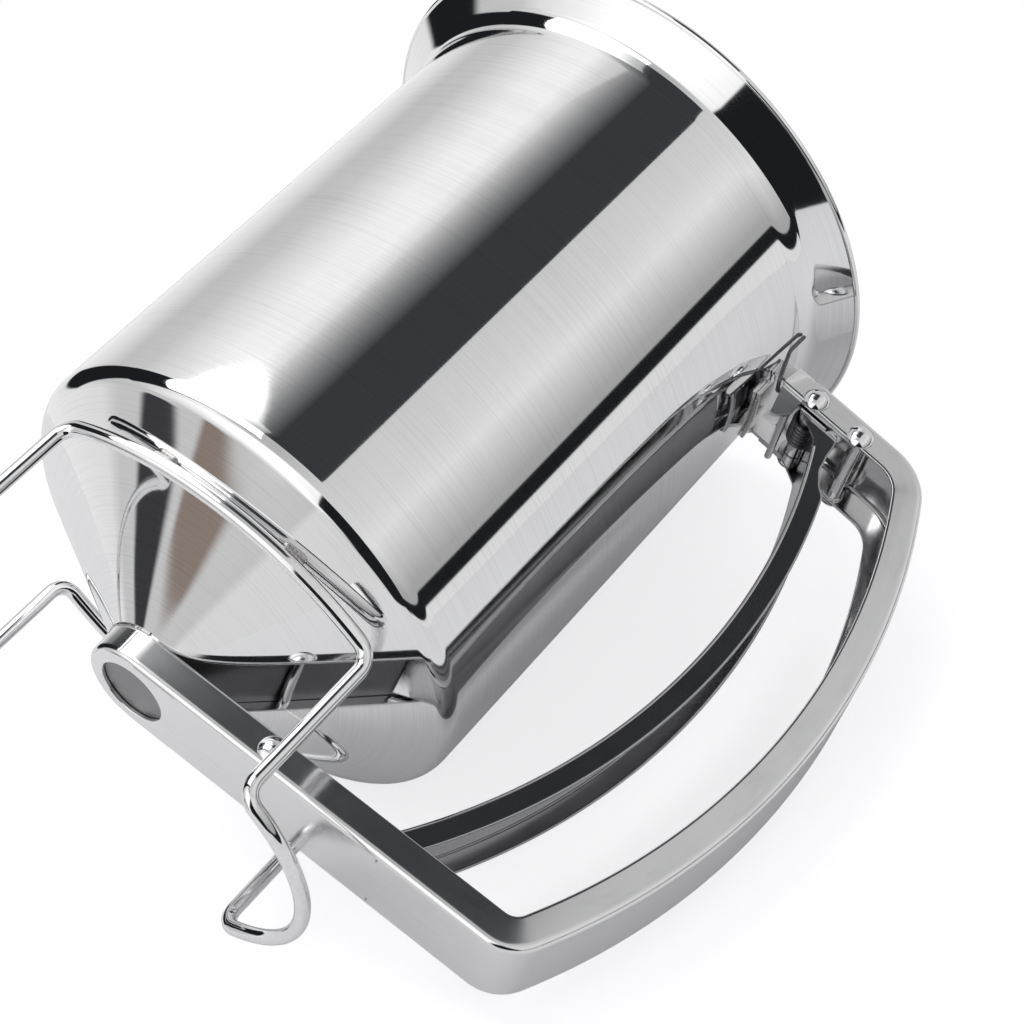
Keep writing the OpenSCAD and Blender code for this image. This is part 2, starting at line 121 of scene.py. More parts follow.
# ---------------------------------------------------------------- materials
class Nodes:
    """Short names for building a node tree."""

    def __init__(self, tree):
        self.tree = tree

    def add(self, kind, **props):
        n = self.tree.nodes.new(kind)
        for k, v in props.items():
            setattr(n, k, v)
        return n

    def link(self, a, b):
        self.tree.links.new(a, b)

    def math(self, op, a, b):
        n = self.add("ShaderNodeMath", operation=op)
        for i, v in enumerate((a, b)):
            if isinstance(v, (int, float)):
                n.inputs[i].default_value = v
            else:
                self.link(v, n.inputs[i])
        return n.outputs[0]

    def noise(self, vec, scale, detail, rough):
        n = self.add("ShaderNodeTexNoise")
        n.inputs["Scale"].default_value = scale
        n.inputs["Detail"].default_value = detail
        n.inputs["Roughness"].default_value = rough
        self.link(vec, n.inputs["Vector"])
        return n.outputs["Fac"]

    def ramp(self, fac, stops):
        n = self.add("ShaderNodeValToRGB")
        els = n.color_ramp.elements
        while len(els) < len(stops):
            els.new(0.5)
        for e, (pos, val) in zip(els, stops):
            e.position = pos
            e.color = (*val, 1) if isinstance(val, tuple) else (val, val, val, 1)
        self.link(fac, n.inputs["Fac"])
        return n.outputs["Color"]

    def bump(self, height, strength, distance):
        n = self.add("ShaderNodeBump")
        n.inputs["Strength"].default_value = strength
        n.inputs["Distance"].default_value = distance
        self.link(height, n.inputs["Height"])
        return n

    def map_range(self, value, lo, hi, kind="LINEAR"):
        """0 at lo and below, 1 at hi and beyond."""
        n = self.add("ShaderNodeMapRange", interpolation_type=kind)
        n.inputs["From Min"].default_value = lo
        n.inputs["From Max"].default_value = hi
        self.link(value, n.inputs["Value"])
        return n.outputs["Result"]

    def mix_colour(self, fac, a, b):
        """Colour a where fac is 0 and b, a socket or a colour, where it is 1."""
        n = self.add("ShaderNodeMix", data_type="RGBA")
        self.link(fac, n.inputs["Factor"])
        self.link(a, n.inputs["A"])
        if isinstance(b, tuple):
            n.inputs["B"].default_value = (*b, 1)
        else:
            self.link(b, n.inputs["B"])
        return n.outputs["Result"]

    def mix_shader(self, fac, a, b):
        n = self.add("ShaderNodeMixShader")
        for i, v in enumerate((fac, a, b)):
            self.link(v, n.inputs[i])
        return n.outputs[0]


# polishing lines: scale of the texture along each axis (turn, height and radius for "round")
GRAINS = {"round": (1.2, 2600.0, 2600.0), "along": (60.0, 2600.0, 60.0), "all": (900.0, 900.0, 900.0)}
CLOUD_SCALE = 28.0
WAVE_SCALE = 16.0
WAVE_HEIGHT = 0.004
LINE_HEIGHT = 0.0001
SMOOTHEST = 0.02


def grain_space(t, place, grain):
    """Texture space that is squeezed across the polishing lines."""
    sep = t.add("ShaderNodeSeparateXYZ")
    t.link(place, sep.inputs[0])
    values = list(sep.outputs)
    if grain == "round":
        flat = t.add("ShaderNodeCombineXYZ")
        t.link(sep.outputs["X"], flat.inputs["X"])
        t.link(sep.outputs["Y"], flat.inputs["Y"])
        radius = t.add("ShaderNodeVectorMath", operation="LENGTH")
        t.link(flat.outputs[0], radius.inputs[0])
        turned = t.math("ARCTAN2", sep.outputs["Y"], sep.outputs["X"])
        values = [turned, sep.outputs["Z"], radius.outputs["Value"]]
    comb = t.add("ShaderNodeCombineXYZ")
    for i, (value, scale) in enumerate(zip(values, GRAINS[grain])):
        t.link(t.math("MULTIPLY", value, scale), comb.inputs[i])
    return comb.outputs[0]


def steel(name, tint, rough, grain, grain_amount, wobble, smudge):
    """Polished stainless: fine polishing lines, slight unevenness of the sheet and faint smudges."""
    mat = bpy.data.materials.new(name)
    mat.use_nodes = True
    t = Nodes(mat.node_tree)
    bsdf = mat.node_tree.nodes["Principled BSDF"]
    bsdf.inputs["Metallic"].default_value = 1.0
    coord = t.add("ShaderNodeTexCoord")
    shift = t.add("ShaderNodeMapping")
    shift.inputs["Location"].default_value = (-ORIGIN.x, 0, -ORIGIN.z)
    t.link(coord.outputs["Object"], shift.inputs["Vector"])
    place = shift.outputs["Vector"]
    lines = t.noise(grain_space(t, place, grain), 1.0, 3.0, 0.6)
    cloud = t.noise(place, CLOUD_SCALE, 3.0, 0.55)
    wave = t.noise(place, WAVE_SCALE, 1.0, 0.4)
    fine = t.math("MULTIPLY", t.math("SUBTRACT", lines, 0.5), grain_amount)
    dull = t.math("MULTIPLY", t.math("SUBTRACT", cloud, 0.45), smudge * 2)
    total = t.math("ADD", t.math("ADD", fine, dull), rough)
    t.link(t.math("MAXIMUM", total, SMOOTHEST), bsdf.inputs["Roughness"])
    streak = t.math("ADD", t.math("MULTIPLY", lines, 0.7), t.math("MULTIPLY", cloud, 0.3))
    darker = tuple(c * 0.9 for c in tint)
    lighter = tuple(min(1, c * 1.04) for c in tint)
    t.link(t.ramp(streak, [(0.3, darker), (0.5, tint), (0.75, lighter)]), bsdf.inputs["Base Color"])
    dents = t.bump(wave, wobble, WAVE_HEIGHT)
    scratches = t.bump(lines, grain_amount * 0.25, LINE_HEIGHT)
    t.link(dents.outputs[0], scratches.inputs["Normal"])
    t.link(scratches.outputs[0], bsdf.inputs["Normal"])
    return mat


# name, tint, roughness, grain, depth of the grain, unevenness, smudges
MAT_POT = steel("polished_steel", (0.87, 0.87, 0.875), 0.045, "round", 0.03, 0.004, 0.012)
MAT_SHEET = steel("polished_sheet", (0.84, 0.84, 0.845), 0.11, "along", 0.05, 0.008, 0.02)
MAT_LEVER = steel("lever_sheet", (0.50, 0.50, 0.51), 0.12, "along", 0.05, 0.008, 0.02)
MAT_PLAIN = steel("brushed_sheet", (0.80, 0.80, 0.805), 0.20, "along", 0.10, 0.01, 0.04)
# shutter plate: its dark tint is painted shade, for the stainless plate lying in shade inside the outlet
MAT_GATE_SHADE_PAINTED = steel("shutter_sheet_painted_shade", (0.24, 0.24, 0.245), 0.30, "along", 0.15, 0.015, 0.05)
MAT_WIRE = steel("stand_wire", (0.86, 0.86, 0.865), 0.06, "all", 0.03, 0.004, 0.015)
MAT_RIVET = steel("rivet_steel", (0.86, 0.86, 0.87), 0.10, "all", 0.05, 0.008, 0.02)
MAT_SPRING = steel("spring_steel", (0.16, 0.16, 0.17), 0.28, "all", 0.15, 0.01, 0.05)
MAT_WELD = steel("weld_metal", (0.55, 0.54, 0.53), 0.30, "all", 0.30, 0.05, 0.1)


# ---------------------------------------------------------------- mesh helpers
def piece(name, parts, mat, body, nodes, sharp=32):
    """One object from one or more (vertices, faces) parts."""
    verts = []
    faces = []
    for vs, fs in parts:
        base = len(verts)
        verts += [at(v) for v in vs]
        faces += [[base + i for i in f] for f in fs]
    mesh = bpy.data.meshes.new(name)
    mesh.from_pydata(verts, [], faces)
    bm = bmesh.new()
    bm.from_mesh(mesh)
    bmesh.ops.remove_doubles(bm, verts=bm.verts, dist=2e-6)
    bmesh.ops.recalc_face_normals(bm, faces=bm.faces)
    bm.to_mesh(mesh)
    bm.free()
    mesh.polygons.foreach_set("use_smooth", [True] * len(mesh.polygons))
    mesh.set_sharp_from_angle(angle=rad(sharp))
    mesh.materials.append(mat)
    obj = bpy.data.objects.new(name, mesh)
    bpy.context.scene.collection.objects.link(obj)
    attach(obj, body)
    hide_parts(*nodes)
    return obj


def loft(rings, closed=True, ring_closed=True, caps=False):
    """Faces between neighbouring rings of equally many points."""
    n = len(rings[0])
    verts = [p for r in rings for p in r]
    faces = []
    for i in range(len(rings) if closed else len(rings) - 1):
        j = (i + 1) % len(rings)
        for k in range(n if ring_closed else n - 1):
            m = (k + 1) % n
            faces.append([i * n + k, i * n + m, j * n + m, j * n + k])
    if caps:
        faces.append(list(range(n))[::-1])
        faces.append([(len(rings) - 1) * n + k for k in range(n)])
    return verts, faces


def end_face(ring):
    """Triangulated face over the cut end of a channel."""
    bm = bmesh.new()
    face = bm.faces.new([bm.verts.new(p) for p in ring])
    bmesh.ops.triangulate(bm, faces=[face])
    bm.verts.index_update()
    part = ([tuple(v.co) for v in bm.verts], [[v.index for v in f.verts] for f in bm.faces])
    bm.free()
    return part


def polar(c, r, a):
    return (c[0] + r * math.cos(rad(a)), c[1] + r * math.sin(rad(a)))


def arc(c, r, a0, a1, step):
    n = max(2, int(math.ceil(abs(a1 - a0) / step)))
    return [polar(c, r, a0 + (a1 - a0) * i / n) for i in range(n + 1)]


def line(p, q, edge=0.5, step=12.0):
    """Points between p and q, not including them, with one close to each end."""
    d = math.dist(p, q)
    if d < 3 * edge:
        return []
    n = int(d / step)
    ts = [edge / d] + [i / (n + 1) for i in range(1, n + 1)] + [1 - edge / d]
    return [(p[0] + (q[0] - p[0]) * t, p[1] + (q[1] - p[1]) * t) for t in ts]


def joined(*runs):
    """One closed outline from point lists, with straight runs between them filled in."""
    out = []
    for i, run in enumerate(runs):
        out += run
        out += line(run[-1], runs[(i + 1) % len(runs)][0])
    return out


def spin(profile, segs, a0=0.0, a1=360.0):
    """Profile (r, z) turned about the outlet's axis."""
    closed = abs(a1 - a0) >= 360
    rings = []
    for i in range(segs if closed else segs + 1):
        a = rad(a0 + (a1 - a0) * i / segs)
        rings.append([(r * math.cos(a), r * math.sin(a), z) for r, z in profile])
    return loft(rings, closed=closed)


def lathe(profile, segs, ring_closed=True):
    """Profile (r, z) turned about its own z axis, to be placed by along_y."""
    rings = []
    for i in range(segs):
        a = 2 * math.pi * i / segs
        rings.append([(r * math.cos(a), r * math.sin(a), z) for r, z in profile])
    return loft(rings, ring_closed=ring_closed)


def along_y(part, pos, flip=1):
    """Turns a part drawn about +Z at the origin so that it points along +Y or -Y from pos (x, z)."""
    vs, fs = part
    return [(pos[0] + v[0], flip * v[2], pos[1] + v[1]) for v in vs], fs


def tube(path, r, sides=20, closed=False):
    """Round wire along a list of points, with rounded ends where it is open."""
    pts = [Vector(p) for p in path]
    n = len(pts)
    tang = []
    for i in range(n):
        a = pts[(i - 1) % n] if (closed or i > 0) else pts[i]
        b = pts[(i + 1) % n] if (closed or i < n - 1) else pts[i]
        tang.append((b - a).normalized())
    u = tang[0].orthogonal().normalized()
    frames = []
    for i in range(n):
        u = (u - tang[i] * u.dot(tang[i])).normalized()
        frames.append(u.copy())
    if closed:
        # spread the leftover twist over the loop
        last = (frames[-1] - tang[0] * frames[-1].dot(tang[0])).normalized()
        twist = math.atan2(tang[0].dot(last.cross(frames[0])), last.dot(frames[0]))
        frames = [Matrix.Rotation(twist * i / n, 3, tang[i]) @ f for i, f in enumerate(frames)]

    def ring(i, centre, radius):
        w = tang[i].cross(frames[i])
        turns = [2 * math.pi * k / sides for k in range(sides)]
        return [tuple(centre + radius * (math.cos(a) * frames[i] + math.sin(a) * w)) for a in turns]

    rings = [ring(i, pts[i], r) for i in range(n)]
    if not closed:
        for end, sign in ((0, -1), (-1, 1)):
            dome = []
            for a in (25, 50, 70, 84):
                dome.append(ring(end, pts[end] + tang[end] * (sign * r * math.sin(rad(a)) * 0.9),
                                 r * math.cos(rad(a))))
            rings = (dome[::-1] + rings) if sign < 0 else (rings + dome)
    return loft(rings, closed=closed, caps=not closed)


def plate(outline, y0, y1, bevel):
    """Flat plate in the x-z plane from y0 to y1 with softened edges."""
    pts = [Vector((p[0], p[1])) for p in outline]
    area = sum(a.x * b.y - b.x * a.y for a, b in zip(pts, pts[1:] + pts[:1]))
    if area < 0:
        pts.reverse()
    n = len(pts)
    inner = []
    for i in range(n):
        e0 = (pts[i] - pts[i - 1]).normalized()
        e1 = (pts[(i + 1) % n] - pts[i]).normalized()
        inward = Vector((-e0.y, e0.x)) + Vector((-e1.y, e1.x))
        inward = inward / max(inward.length_squared, 0.5) * 2
        inner.append(pts[i] + inward * bevel / 2)
    low, high = sorted((y0, y1))
    rings = [[(p.x, low, p.y) for p in inner], [(p.x, low + bevel, p.y) for p in pts],
             [(p.x, high - bevel, p.y) for p in pts], [(p.x, high, p.y) for p in inner]]
    return loft(rings, closed=False, caps=True)


def flat_plate(outline, z0, z1, bevel):
    """Level plate: the outline is in x and y."""
    vs, fs = plate(outline, z0, z1, bevel)
    return [(v[0], v[2], v[1]) for v in vs], fs


# ---------------------------------------------------------------- hopper
def hopper_profile():
    flare_c = (BODY_R + FLARE_R, NECK_Z)
    bead_c = (RIM_R - BEAD_R, POT_H - BEAD_R)
    corner_c = (BODY_R - CORNER_R, CORNER_Z)
    flare_stop = 180 - FLARE_DEG
    return joined(
        [(CONE_END, CONE_OUT_Z)],
        arc(corner_c, CORNER_R, SLOPE_DEG - 90, 0, 3),
        arc(flare_c, FLARE_R, 180, flare_stop, 3),
        arc(bead_c, BEAD_R, -108, 184, 12),
        arc(flare_c, FLARE_R + SHEET, flare_stop, 180, 3),
        arc(corner_c, CORNER_R - SHEET, 0, SLOPE_DEG - 90, 3),
        [(CONE_END, CONE_IN_Z)],
    )


piece("hopper", [spin(hopper_profile(), 288)], MAT_POT, "pot", ["hopper_shell"])

collar_profile = [(OUTLET_R, SPIGOT_Z), (SPIGOT_R, SPIGOT_Z), (SPIGOT_R, CONE_IN_Z),
                  (OUTLET_R, CONE_IN_Z - (SPIGOT_R - OUTLET_R) * TAN)]
piece("collar", [spin(collar_profile, 120)], MAT_PLAIN, "pot", ["outlet_collar"])

WELD_R = 0.52
WELD_RIPPLE = 0.12
WELD_COUNT = 60


def round_bead(centre_r, z, a0, a1, segs):
    """Weld bead round the outlet's axis, rippled along its length."""
    closed = a1 - a0 >= 360
    rings = []
    for i in range(segs if closed else segs + 1):
        a = rad(a0 + (a1 - a0) * i / segs)
        k = 1 + WELD_RIPPLE * math.sin(WELD_COUNT * a) * math.cos(0.37 * WELD_COUNT * a)
        rings.append([((centre_r + k * WELD_R * math.cos(rad(30 * j))) * math.cos(a),
                       (centre_r + k * WELD_R * math.cos(rad(30 * j))) * math.sin(a),
                       z + k * WELD_R * math.sin(rad(30 * j))) for j in range(12)])
    return loft(rings, closed=closed, caps=not closed)


piece("outlet_weld_beads", [round_bead(CONE_END + 0.3, CONE_OUT_Z, 0, 360, 240),
                            round_bead(CH_HALF - 0.2, CH_H + 0.1, 100, 260, 160)],
      MAT_WELD, "pot", ["outlet_welds"], 60)


# ---------------------------------------------------------------- handle channel
def drafted(y, d, depth, half, draft):
    """Half width y at depth d, narrower towards the web by the walls' draft."""
    return y * (1 - math.tan(rad(draft)) * (depth - d) / half)


def channel_loop(depth, half, t, bend, tip, draft=0.0):
    """Closed outline of the U as (depth below the web's outer face, y)."""
    ri = max(bend - t, 0.05)
    c = half - bend
    quarter = (0, 22.5, 45, 67.5, 90)
    tens = range(0, 91, 10)

    def corner(r, a, side):
        return (bend - r * math.sin(rad(a)), side * (c + r * math.cos(rad(a))))

    outline = joined(
        arc((depth - tip, -half + tip), tip, -90, 0, 30),
        arc((depth - tip, -half + t - tip), tip, 0, 90, 30),
        [corner(ri, a, -1) for a in quarter],
        [corner(ri, a, 1) for a in quarter[::-1]],
        arc((depth - tip, half - t + tip), tip, -90, 0, 30),
        arc((depth - tip, half - tip), tip, 0, 90, 30),
        [corner(bend, a, 1) for a in tens],
        [corner(bend, a, -1) for a in tens[::-1]],
    )
    return [(d, drafted(y, d, depth, half, draft)) for d, y in outline]


def stations_arc(c, r, a0, a1, step):
    """Stations (x, z, outward x, outward z) along an arc."""
    n = max(2, int(math.ceil(abs(a1 - a0) / step)))
    out = []
    for i in range(n + 1):
        a = rad(a0 + (a1 - a0) * i / n)
        out.append((c[0] + r * math.cos(a), c[1] + r * math.sin(a), math.cos(a), math.sin(a)))
    return out


def stations_line(p, q, n):
    return [(x, z, n[0], n[1]) for x, z in line(p, q, 0.6, 8.0)]


# lower corner, upper arm's line (outward arm_n, towards the grip arm_u) and upper corner
low_cx = GRIP_C[0] + math.sqrt((GRIP_R - LOW_R) ** 2 - (GRIP_C[1] - LOW_R) ** 2)
low_turn = math.degrees(math.atan2(LOW_R - GRIP_C[1], low_cx - GRIP_C[0]))
arm_n = (math.sin(ARM_FALL), math.cos(ARM_FALL))
arm_u = (math.cos(ARM_FALL), -math.sin(ARM_FALL))
arm_rise = ARM_TOP * arm_n[1] - TOP_R - (GRIP_C[0] * arm_n[0] + GRIP_C[1] * arm_n[1])
arm_run = math.sqrt((GRIP_R - TOP_R) ** 2 - arm_rise ** 2)
top_c = (GRIP_C[0] + arm_rise * arm_n[0] + arm_run * arm_u[0],
         GRIP_C[1] + arm_rise * arm_n[1] + arm_run * arm_u[1])
top_turn = math.degrees(math.atan2(top_c[1] - GRIP_C[1], top_c[0] - GRIP_C[0]))
arm_start = (top_c[0] + TOP_R * arm_n[0], top_c[1] + TOP_R * arm_n[1])
arm_len = (arm_start[0] - ARM_END) / arm_u[0]
arm_stop = (arm_start[0] - arm_len * arm_u[0], arm_start[1] - arm_len * arm_u[1])

HOLE_X = CH_HALF - CH_BEND
HOLE_SEGS = 48
hole_edge = [(OUTLET_R + 0.1, CH_T), (OUTLET_R, CH_T - 0.1), (OUTLET_R, 0.15), (OUTLET_R + 0.12, 0.0)]


def handle_sweep():
    """The U swept from beside the hole, along the lower arm, grip and upper arm, to its cut end."""
    down = (0.0, -1.0)
    stations = [(HOLE_X, 0.0, *down)]
    stations += stations_line((HOLE_X, 0.0), (low_cx, 0.0), down)
    stations += stations_arc((low_cx, LOW_R), LOW_R, -90, low_turn, 3)
    stations += stations_arc(GRIP_C, GRIP_R, low_turn + 0.2, top_turn - 0.2, 1.0)
    stations += stations_arc(top_c, TOP_R, top_turn, 90 - FALL_DEG, 3)
    stations += stations_line(arm_start, arm_stop, arm_n)
    stations.append((*arm_stop, *arm_n))
    profile = channel_loop(CH_H, CH_HALF, CH_T, CH_BEND, 0.3, DRAFT)
    rings = [[(x - d * nx, y, z - d * nz) for d, y in profile] for x, z, nx, nz in stations]
    return [loft(rings, closed=False), end_face(rings[-1])]


def end_section():
    """Section (y, depth) through one wall and the web up to the hole."""
    tips = [(CH_HALF, CH_H - 0.3), (CH_HALF - 0.09, CH_H - 0.09), (CH_HALF - 0.3, CH_H)]
    inner_tips = [(CH_HALF - CH_T + 0.3, CH_H), (CH_HALF - CH_T + 0.09, CH_H - 0.09),
                  (CH_HALF - CH_T, CH_H - 0.3)]
    inner_r = CH_BEND - CH_T
    section = joined(
        hole_edge[1:],
        [(HOLE_X + CH_BEND * math.sin(rad(a)), CH_BEND - CH_BEND * math.cos(rad(a)))
         for a in range(0, 91, 10)],
        tips,
        inner_tips,
        [(HOLE_X + inner_r * math.cos(rad(a)), CH_BEND - inner_r * math.sin(rad(a)))
         for a in (0, 22.5, 45, 67.5, 90)],
        hole_edge[:1],
    )
    return [(drafted(y, d, CH_H, CH_HALF, DRAFT) if y > OUTLET_R + 0.2 else y, d) for y, d in section]


def side_strip(strip, sign):
    """Straight wall beside the hole, between the rounded end and the swept channel."""
    rings = [[(x, sign * y, d) for y, d in strip] for x in (0.0, 0.6, 6.0, HOLE_X - 0.6, HOLE_X)]
    return loft(rings, closed=False, ring_closed=False)


def web_patch(z, r_hole):
    """Flat web between the half hole and the rectangle beyond it."""
    vs = []
    fs = []
    for i in range(HOLE_SEGS + 1):
        a = rad(-90 + 180 * i / HOLE_SEGS)
        c, s = math.cos(a), math.sin(a)
        reach = HOLE_X / max(abs(c), abs(s))
        middle = r_hole + 1.2 if reach > r_hole + 1.4 else (r_hole + reach) / 2
        vs += [(r * c, r * s, z) for r in (r_hole, middle, reach)]
    for i in range(HOLE_SEGS):
        for k in range(2):
            fs.append([3 * i + k, 3 * i + k + 1, 3 * i + k + 4, 3 * i + k + 3])
    return vs, fs


def hole_wall():
    rings = []
    for i in range(HOLE_SEGS + 1):
        a = rad(-90 + 180 * i / HOLE_SEGS)
        rings.append([(r * math.cos(a), r * math.sin(a), z) for r, z in hole_edge])
    return loft(rings, closed=False, ring_closed=False)


section = end_section()
strip = [(y, d) for y, d in section if y >= HOLE_X - 0.7]
end_parts = [spin(section, 96, 90, 270), side_strip(strip, 1), side_strip(strip, -1),
             web_patch(0.0, hole_edge[-1][0]), web_patch(CH_T, hole_edge[0][0]), hole_wall()]
piece("handle", handle_sweep() + end_parts, MAT_SHEET, "pot", ["handle_channel"])


# ---------------------------------------------------------------- upper bracket
EAR_OUT = 13.4
EAR_IN = 12.2
EAR_R = 2.9
START_X = BODY_R - 0.6
LOBE_C = (PIVOT[0] - 7.9, 175.6)
LOBE_R = 5.0
EDGE = (PIVOT[0] - 10.3, PIVOT[1] + 0.2)
EDGE_LOW_Z = 170.75
LEAN = rad(13.5)
PLATE_Z = 175.3
PLATE_HALF = 10.5
BLOCK_HALF = 13.3
BLOCK_TOP = EDGE[1] + 5.1
STOP_X = PIVOT[0] - 4.4


def arm_point(dx, dz):
    """Point dx along the upper arm from the pivot and dz above its line."""
    return (PIVOT[0] + dx * arm_u[0] + dz * arm_n[0], PIVOT[1] + dx * arm_u[1] + dz * arm_n[1])


def near_ear(nose):
    """Strip, block by the pot and the hanging lobe with its leaning straight edge."""
    edge_low = (EDGE[0] + (EDGE[1] - EDGE_LOW_Z) * math.tan(LEAN), EDGE_LOW_Z)
    lobe = [polar(LOBE_C, LOBE_R, a) for a in range(-84, 1, 6)]
    return ([(START_X, EDGE[1]), EDGE, edge_low] + lobe
            + [(LOBE_C[0] + LOBE_R, arm_point(-3.0, -EAR_R)[1]), arm_point(-2.4, -EAR_R)] + nose
            + [arm_point(-9.6, EAR_R), (LOBE_C[0], BLOCK_TOP), (START_X, BLOCK_TOP)])


def far_ear(nose):
    back = -(PIVOT[0] - START_X) / math.cos(ARM_FALL)
    return [arm_point(back, -EAR_R)] + nose + [arm_point(back, EAR_R)]


def wall_plate(z0, z1, half):
    """Sheet lying on the hopper's wall."""
    r0, r1, c = 67.6, 68.8, 0.2
    turn_a = math.asin(half / r1)
    rings = []
    for i in range(25):
        a = -turn_a + 2 * turn_a * i / 24
        rings.append([(r * math.cos(a), r * math.sin(a), z) for r, z in
                      ((r0, z0 + c), (r0 + c, z0), (r1 - c, z0), (r1, z0 + c),
                       (r1, z1 - c), (r1 - c, z1), (r0 + c, z1), (r0, z1 - c))])
    return loft(rings, closed=False, caps=True)


def stop_bar():
    rings = [[(STOP_X + r * math.cos(rad(15 * k)), y, PLATE_Z + r * math.sin(rad(15 * k))) for k in range(24)]
             for y, r in ((-12.8, 1.0), (-12.0, 1.0), (0.0, 1.0), (10.3, 1.0), (10.5, 0.8))]
    return loft(rings, closed=False, caps=True)


ear_nose = [polar(TIE, EAR_R, a) for a in range(-97, 83, 15)]
bracket_parts = [plate(near_ear(ear_nose), -EAR_OUT, -EAR_IN, 0.2),
                 plate(far_ear(ear_nose), EAR_IN, EAR_OUT, 0.2),
                 wall_plate(EDGE[1], BLOCK_TOP, BLOCK_HALF), wall_plate(PLATE_Z, EDGE[1] + 0.5, PLATE_HALF),
                 stop_bar()]
piece("bracket", bracket_parts, MAT_PLAIN, "pot", ["upper_bracket"])


def bracket_bead(z):
    """Weld bead across the hopper's wall, thinner at its ends."""
    wall_r, half, segs = 67.9, 7.9, 40
    rings = []
    for i in range(segs + 1):
        k = 0.5 * (1 + 0.14 * math.sin(i * 1.9)) * (0.55 if i in (0, segs) else 1)
        a = math.asin((-half + 2 * half * i / segs) / wall_r)
        rings.append([((wall_r + k * math.cos(rad(30 * j))) * math.cos(a),
                       (wall_r + k * math.cos(rad(30 * j))) * math.sin(a),
                       z + k * math.sin(rad(30 * j))) for j in range(12)])
    return loft(rings, closed=False, caps=True)


piece("bracket_weld_beads", [bracket_bead(PLATE_Z), bracket_bead(BLOCK_TOP)], MAT_WELD, "pot",
      ["bracket_welds"], 60)


# ---------------------------------------------------------------- rivets, sleeve, link pin
HEAD_R = 3.7
HEAD_H = 2.0
HEAD_SEGS = 14


def rivet(name, pos, r, node):
    """Shank with a domed head on each outer face of the handle."""
    seat = CH_HALF + 0.05
    dome = (HEAD_R ** 2 + HEAD_H ** 2) / (2 * HEAD_H)
    top = math.degrees(math.asin(HEAD_R / dome))
    prof = [(0.0001, seat + HEAD_H)]
    for i in range(1, HEAD_SEGS + 1):
        a = rad(top * i / HEAD_SEGS)
        rim = 0.995 if i == HEAD_SEGS else 1
        prof.append((dome * math.sin(a) * rim, seat + HEAD_H - dome + dome * math.cos(a)))
    prof += [(HEAD_R, seat + 0.12), (HEAD_R - 0.1, seat), (r, seat), (r, 0.0)]
    half = lathe(prof, 48, ring_closed=False)
    piece(name, [along_y(half, pos, s) for s in (-1, 1)], MAT_RIVET, "pot", [node], 50)


rivet("rivet_pivot", PIVOT, 1.8, "pivot_rivet")
rivet("rivet_tie", TIE, 1.8, "tie_rivet")
rivet("rivet_guide", GUIDE, 1.5, "guide_rivet")


def sleeve():
    r_in, r_out, half, c = 1.87, 2.6, 10.5, 0.15
    prof = [(r_in, -half + c), (r_in + c, -half), (r_out - c, -half), (r_out, -half + c),
            (r_out, half - c), (r_out - c, half), (r_in + c, half), (r_in, half - c)]
    return along_y(lathe(prof, 48), PIVOT)


piece("sleeve", [sleeve()], MAT_PLAIN, "pot", ["pivot_sleeve"])


def link_pin():
    """Pin with a flat head on each outer face of the lever."""
    r, head_r, seat, head_t, c = 1.25, 2.1, LEVER_HALF + 0.05, 0.8, 0.25
    prof = [(0.0001, seat + head_t), (head_r - c, seat + head_t), (head_r, seat + head_t - c),
            (head_r, seat), (r, seat), (r, 0)]
    half = lathe(prof, 32, ring_closed=False)
    return [along_y(half, LINK, s) for s in (-1, 1)]


piece("link", link_pin(), MAT_RIVET, "trigger", ["link_pin"], 40)


# ---------------------------------------------------------------- squeeze lever
# depth of the lever's walls at heights along it: they narrow to a notch below the pivot
LEVER_DEPTHS = [(0, 6.5), (156.5, 6.5), (160.5, 4.6), (164.4, 3.7), (167.5, 4.4), (174.0, 6.2), (200, 6.2)]
LEVER_LOW_Z = 3.35
LEVER_TOP_Z = 175.6
LEVER_SEGS = 150
LEVER_EAR_R = 4.1


def lever_depth(z):
    for (z0, d0), (z1, d1) in zip(LEVER_DEPTHS, LEVER_DEPTHS[1:]):
        if z0 <= z <= z1:
            s = (z - z0) / (z1 - z0)
            s = s * s * (3 - 2 * s)
            return d0 + (d1 - d0) * s


def lever_parts():
    low = math.degrees(math.asin((LEVER_LOW_Z - LEVER_C[1]) / LEVER_R))
    top = math.degrees(math.asin((LEVER_TOP_Z - LEVER_C[1]) / LEVER_R))
    rings = []
    for i in range(LEVER_SEGS + 1):
        a = rad(low + (top - low) * i / LEVER_SEGS)
        c, s = math.cos(a), math.sin(a)
        x = LEVER_C[0] + LEVER_R * c
        z = LEVER_C[1] + LEVER_R * s
        profile = channel_loop(lever_depth(z), LEVER_HALF, LEVER_T, LEVER_BEND, 0.25)
        rings.append([(x + d * c, y, z + d * s) for d, y in profile])
    ear = [polar(PIVOT, LEVER_EAR_R, a) for a in range(20, 241, 10)]
    neck = [(86.6, 173.2), (88.0, 171.0), (91.2, 171.5), (92.6, 174.3), (88.6, 175.9)]
    ears = [plate(ear + neck, s * 10.72, s * 11.68, 0.2) for s in (-1, 1)]
    return [loft(rings, closed=False), end_face(rings[0]), end_face(rings[-1])] + ears


piece("lever", lever_parts(), MAT_LEVER, "trigger", ["trigger_lever"])


# ---------------------------------------------------------------- shutter
GATE_HALF = 12.6
GATE_LOW = 1.15
GATE_TOP = 2.65
GATE_EAR_R = 2.4
GATE_EAR_Y = 8
GATE_EAR_T = 0.6


